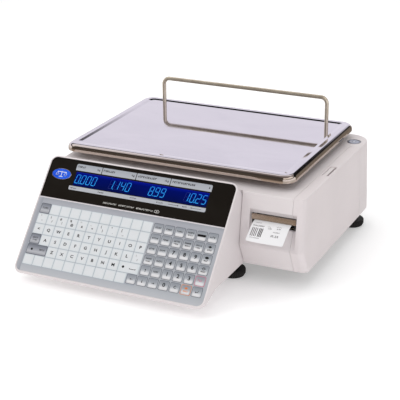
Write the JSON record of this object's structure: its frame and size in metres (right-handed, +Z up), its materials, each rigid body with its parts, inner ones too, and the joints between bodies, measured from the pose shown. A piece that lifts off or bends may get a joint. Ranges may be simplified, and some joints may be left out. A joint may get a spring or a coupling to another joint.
{
  "type": "retail price scale",
  "caption": "Counter-top price-computing scale with stainless platter and guard rail, sloped display and keypad console, side label printer and levelling feet.",
  "frame": {"origin": "on the counter plane, directly below the centre of the weighing platter", "axes": "+X to the operator's right when facing the keypad, +Y away from the operator towards the customer, +Z up"},
  "size_m": [0.414, 0.4501, 0.2112],
  "materials": {
    "housing_plastic": "warm white moulded ABS with a fine spark-eroded texture",
    "door_plastic": "warm white moulded ABS with a fine spark-eroded texture",
    "latch_plastic": "moulded ABS",
    "display_black": "back-printed smoky black polyester",
    "lcd_clear": "backlit blue liquid-crystal glass",
    "keypad_silver": "screen-printed embossed polyester",
    "card_white": "printed card under a clear film",
    "badge_enamel": "enamelled oval badge with a bright rim",
    "circuit_green": "glass-epoxy laminate with green solder mask",
    "switch_film": "polyester film",
    "sheet_steel": "zinc-plated sheet",
    "platter_steel": "fine-polished stainless steel",
    "rail_steel": "polished stainless rod",
    "cell_alloy": "machined alloy",
    "cast_alloy": "pressure die-cast",
    "black_steel": "black oxide",
    "shaft_steel": "ground steel",
    "foot_rubber": "black moulded rubber",
    "foot_plastic": "black glass-filled nylon",
    "pad_rubber": "soft black rubber",
    "brass": "turned brass",
    "black_plastic": "black moulded plastic",
    "gear_plastic": "natural acetal",
    "platen_rubber": "ground silicone rubber",
    "label_paper": "thermal label stock",
    "spool_plastic": "moulded styrene",
    "ring_steel": "turned stainless",
    "level_alloy": "turned alloy with a bright rim",
    "level_lens": "clear acrylic over pale green fluid",
    "peel_steel": "brushed stainless strip",
    "ribbon_grey": "PVC flat cable",
    "rear_window_clear": "smoked acrylic window",
    "ceramic_head": "alloy carrier with a glazed ceramic strip",
    "port_metal": "nickel-plated shells on a plate",
    "supply_steel": "punched zinc-plated case"
  },
  "bodies": {
    "base": {"bottom_plate": "sheet_steel", "upper_housing": "housing_plastic", "console_housing": "housing_plastic", "display_overlay": "display_black", "lcd_window": "lcd_clear", "lcd_module": "circuit_green", "badge_plate": "badge_enamel", "keypad_overlay": "keypad_silver", "preset_card": "card_white", "switch_layer": "switch_film", "keypad_board": "circuit_green", "main_board": "circuit_green", "power_supply": "supply_steel", "power_inlet": "black_plastic", "power_switch_body": "black_plastic", "port_block": "port_metal", "customer_display_module": "circuit_green", "customer_display_window": "rear_window_clear", "display_ribbon": "ribbon_grey", "bubble_level_cup": "level_alloy", "bubble_level_vial": "level_lens", "load_cell": "cell_alloy", "load_cell_pedestal": "cast_alloy", "load_cell_bolts": "black_steel", "overload_stop": "shaft_steel", "housing_screws": "shaft_steel", "foot_inserts": "brass", "door_hinge_brackets": "sheet_steel", "printer_frame": "black_plastic", "drive_motor": "black_steel", "label_spindle": "black_plastic", "peel_bar": "peel_steel", "head_pivot_pin": "shaft_steel", "takeup_belt": "platen_rubber", "printed_label": "label_paper"},
    "weigh_frame": {"weigh_column": "cast_alloy", "platter_spider": "cast_alloy", "platter_pads": "pad_rubber"},
    "platter_unit": {"platter": "platter_steel", "guard_rail": "rail_steel", "platter_rings": "ring_steel"},
    "door": {"printer_door": "door_plastic", "door_hinge_pins": "shaft_steel"},
    "latch": {"door_latch": "latch_plastic"},
    "platen": {"platen_gear": "gear_plastic", "platen_roller": "platen_rubber", "platen_shaft": "shaft_steel"},
    "pinion": {"motor_pinion": "brass"},
    "supply": {"label_roll": "label_paper"},
    "takeup": {"takeup_spool": "spool_plastic"},
    "head": {"print_head": "ceramic_head"},
    "rocker": {"power_rocker": "black_plastic"},
    "front_right_pad": {"front_right_foot_pad": "foot_rubber"},
    "front_right_disc": {"front_right_foot_disc": "foot_plastic"},
    "rear_right_pad": {"rear_right_foot_pad": "foot_rubber"},
    "rear_right_disc": {"rear_right_foot_disc": "foot_plastic"},
    "front_left_pad": {"front_left_foot_pad": "foot_rubber"},
    "front_left_disc": {"front_left_foot_disc": "foot_plastic"},
    "rear_left_pad": {"rear_left_foot_pad": "foot_rubber"},
    "rear_left_disc": {"rear_left_foot_disc": "foot_plastic"}
  },
  "joints": [
    {"name": "weigh_deflection", "type": "slide", "parent": "base", "child": "weigh_frame", "axis": [0, 0, 1], "range_m": [-0.0004, 0], "stiffness_N_per_m": 340000, "springref_m": 0.00009, "deforming": ["load_cell"]},
    {"name": "platter_lift", "type": "slide", "parent": "weigh_frame", "child": "platter_unit", "axis": [0, 0, 1], "range_m": [0, 0.06]},
    {"name": "front_right_foot_height", "type": "slide", "parent": "base", "child": "front_right_pad", "axis": [0, 0, 1], "range_m": [-0.00801, 0.00601]},
    {"name": "front_right_foot_turn", "type": "hinge", "parent": "front_right_pad", "child": "front_right_disc", "pos_m": [0.0986, -0.143, 0.01], "axis": [0, 0, 1], "range_deg": [-2304, 1728]},
    {"name": "rear_right_foot_height", "type": "slide", "parent": "base", "child": "rear_right_pad", "axis": [0, 0, 1], "range_m": [-0.00801, 0.00601]},
    {"name": "rear_right_foot_turn", "type": "hinge", "parent": "rear_right_pad", "child": "rear_right_disc", "pos_m": [0.1998, 0.113, 0.01], "axis": [0, 0, 1], "range_deg": [-2304, 1728]},
    {"name": "front_left_foot_height", "type": "slide", "parent": "base", "child": "front_left_pad", "axis": [0, 0, 1], "range_m": [-0.00801, 0.00601]},
    {"name": "front_left_foot_turn", "type": "hinge", "parent": "front_left_pad", "child": "front_left_disc", "pos_m": [-0.1686, -0.143, 0.01], "axis": [0, 0, 1], "range_deg": [-2304, 1728]},
    {"name": "rear_left_foot_height", "type": "slide", "parent": "base", "child": "rear_left_pad", "axis": [0, 0, 1], "range_m": [-0.00801, 0.00601]},
    {"name": "rear_left_foot_turn", "type": "hinge", "parent": "rear_left_pad", "child": "rear_left_disc", "pos_m": [-0.1728, 0.113, 0.01], "axis": [0, 0, 1], "range_deg": [-2304, 1728]},
    {"name": "door_swing", "type": "hinge", "parent": "base", "child": "door", "pos_m": [0.2145, 0, 0.032], "axis": [0, 1, 0], "range_deg": [0, 85]},
    {"name": "latch_slide", "type": "slide", "parent": "door", "child": "latch", "axis": [1, 0, 0], "range_m": [0, 0.003], "stiffness_N_per_m": 600, "springref_m": -0.002},
    {"name": "supply_turn", "type": "hinge", "parent": "base", "child": "supply", "pos_m": [0.1705, 0.034, 0.086], "axis": [1, 0, 0], "continuous": true},
    {"name": "platen_turn", "type": "hinge", "parent": "base", "child": "platen", "pos_m": [0.1705, -0.148, 0.1015], "axis": [1, 0, 0], "continuous": true},
    {"name": "pinion_turn", "type": "hinge", "parent": "base", "child": "pinion", "pos_m": [0.133, -0.1362, 0.09324], "axis": [1, 0, 0], "continuous": true},
    {"name": "takeup_turn", "type": "hinge", "parent": "base", "child": "takeup", "pos_m": [0.1705, -0.066, 0.062], "axis": [1, 0, 0], "continuous": true},
    {"name": "head_lift", "type": "hinge", "parent": "base", "child": "head", "pos_m": [0.1705, -0.118, 0.1182], "axis": [-1, 0, 0], "range_deg": [0, 20]},
    {"name": "rocker_tilt", "type": "hinge", "parent": "base", "child": "rocker", "pos_m": [-0.112, 0.1435, 0.056], "axis": [0, 0, 1], "range_deg": [-8, 8]}
  ],
  "couplings": [
    {"joint": "front_right_foot_turn", "follows": "front_right_foot_height", "rad_per_m": 5026.5},
    {"joint": "rear_right_foot_turn", "follows": "rear_right_foot_height", "rad_per_m": 5026.5},
    {"joint": "front_left_foot_turn", "follows": "front_left_foot_height", "rad_per_m": 5026.5},
    {"joint": "rear_left_foot_turn", "follows": "rear_left_foot_height", "rad_per_m": 5026.5},
    {"joint": "platen_turn", "follows": "supply_turn", "ratio": 6.2857},
    {"joint": "pinion_turn", "follows": "supply_turn", "ratio": -9.8776},
    {"joint": "takeup_turn", "follows": "supply_turn", "ratio": 2.2449}
  ]
}
